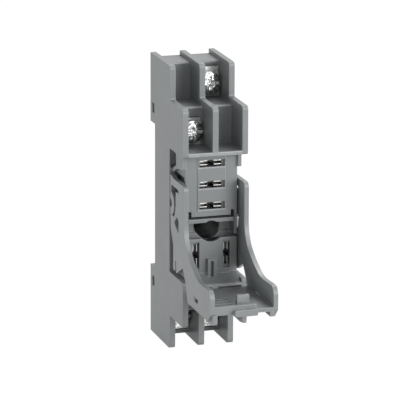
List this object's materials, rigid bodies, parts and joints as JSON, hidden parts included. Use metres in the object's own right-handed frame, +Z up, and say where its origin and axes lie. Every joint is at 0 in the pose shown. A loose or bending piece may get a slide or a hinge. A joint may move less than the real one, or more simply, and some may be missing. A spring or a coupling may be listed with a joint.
{
  "type": "relay socket",
  "caption": "Slim plug-in relay socket with stepped screw terminals, slotted contact face, swinging retaining lever and sprung rail latch, for a rail or a panel.",
  "frame": {"origin": "on the rear plane, at the middle of the rail recess and of the width", "axes": "X across the socket, Y from front to rear, Z up along the terminals"},
  "size_m": [0.0162, 0.0504, 0.0688],
  "materials": {
    "housing_plastic": "satin moulded grey polyamide",
    "cover_plastic": "satin moulded grey polyamide",
    "latch_plastic": "satin moulded grey polyamide",
    "lever_plastic": "satin moulded grey polyamide",
    "strap_metal": "tinned, bright",
    "contact_metal": "tinned spring bronze",
    "clamp_metal": "zinc plated steel",
    "screw_metal": "nickel plated steel",
    "spring_wire": "drawn spring wire"
  },
  "bodies": {
    "base": {"housing": "housing_plastic", "rear_cover": "cover_plastic", "latch_spring": "spring_wire", "strap_top_outer": "strap_metal", "strap_top_inner": "strap_metal", "strap_bottom_inner": "strap_metal", "strap_coil_left": "strap_metal", "strap_coil_right": "strap_metal", "clip_top_outer": "contact_metal", "clip_top_inner": "contact_metal", "clip_bottom_inner": "contact_metal", "clip_coil_left": "contact_metal", "clip_coil_right": "contact_metal"},
    "lever": {"retaining_lever": "lever_plastic"},
    "latch": {"rail_latch": "latch_plastic"},
    "clamp_top_outer_body": {"clamp_top_outer": "clamp_metal"},
    "screw_top_outer_body": {"screw_top_outer": "screw_metal"},
    "clamp_top_inner_body": {"clamp_top_inner": "clamp_metal"},
    "screw_top_inner_body": {"screw_top_inner": "screw_metal"},
    "clamp_bottom_inner_body": {"clamp_bottom_inner": "clamp_metal"},
    "screw_bottom_inner_body": {"screw_bottom_inner": "screw_metal"},
    "clamp_coil_left_body": {"clamp_coil_left": "clamp_metal"},
    "screw_coil_left_body": {"screw_coil_left": "screw_metal"},
    "clamp_coil_right_body": {"clamp_coil_right": "clamp_metal"},
    "screw_coil_right_body": {"screw_coil_right": "screw_metal"}
  },
  "joints": [
    {"name": "lever_hinge", "type": "hinge", "parent": "base", "child": "lever", "pos_m": [0, -0.01655, 0.0016], "axis": [1, 0, 0], "range_deg": [0, 5]},
    {"name": "latch_slide", "type": "slide", "parent": "base", "child": "latch", "axis": [0, 0, -1], "range_m": [0, 0.0022], "stiffness_N_per_m": 500, "springref_m": -0.001, "deforming": ["latch_spring"]},
    {"name": "clamp_top_outer_travel", "type": "slide", "parent": "base", "child": "clamp_top_outer_body", "axis": [0, -1, 0], "range_m": [0, 0.0015]},
    {"name": "screw_top_outer_turn", "type": "hinge", "parent": "clamp_top_outer_body", "child": "screw_top_outer_body", "pos_m": [0.00361, -0.0084, 0.0284], "axis": [0, -1, 0], "range_deg": [0, 1080]},
    {"name": "clamp_top_inner_travel", "type": "slide", "parent": "base", "child": "clamp_top_inner_body", "axis": [0, -1, 0], "range_m": [0, 0.0015]},
    {"name": "screw_top_inner_turn", "type": "hinge", "parent": "clamp_top_inner_body", "child": "screw_top_inner_body", "pos_m": [-0.00361, -0.018, 0.0192], "axis": [0, -1, 0], "range_deg": [0, 1080]},
    {"name": "clamp_bottom_inner_travel", "type": "slide", "parent": "base", "child": "clamp_bottom_inner_body", "axis": [0, -1, 0], "range_m": [0, 0.0015]},
    {"name": "screw_bottom_inner_turn", "type": "hinge", "parent": "clamp_bottom_inner_body", "child": "screw_bottom_inner_body", "pos_m": [-0.00361, -0.018, -0.02005], "axis": [0, -1, 0], "range_deg": [0, 1080]},
    {"name": "clamp_coil_left_travel", "type": "slide", "parent": "base", "child": "clamp_coil_left_body", "axis": [0, -1, 0], "range_m": [0, 0.0015]},
    {"name": "screw_coil_left_turn", "type": "hinge", "parent": "clamp_coil_left_body", "child": "screw_coil_left_body", "pos_m": [-0.00361, -0.0084, -0.0284], "axis": [0, -1, 0], "range_deg": [0, 1080]},
    {"name": "clamp_coil_right_travel", "type": "slide", "parent": "base", "child": "clamp_coil_right_body", "axis": [0, -1, 0], "range_m": [0, 0.0015]},
    {"name": "screw_coil_right_turn", "type": "hinge", "parent": "clamp_coil_right_body", "child": "screw_coil_right_body", "pos_m": [0.00361, -0.0084, -0.0284], "axis": [0, -1, 0], "range_deg": [0, 1080]}
  ],
  "couplings": [
    {"joint": "screw_top_outer_turn", "follows": "clamp_top_outer_travel", "rad_per_m": 12566},
    {"joint": "screw_top_inner_turn", "follows": "clamp_top_inner_travel", "rad_per_m": 12566},
    {"joint": "screw_bottom_inner_turn", "follows": "clamp_bottom_inner_travel", "rad_per_m": 12566},
    {"joint": "screw_coil_left_turn", "follows": "clamp_coil_left_travel", "rad_per_m": 12566},
    {"joint": "screw_coil_right_turn", "follows": "clamp_coil_right_travel", "rad_per_m": 12566}
  ]
}
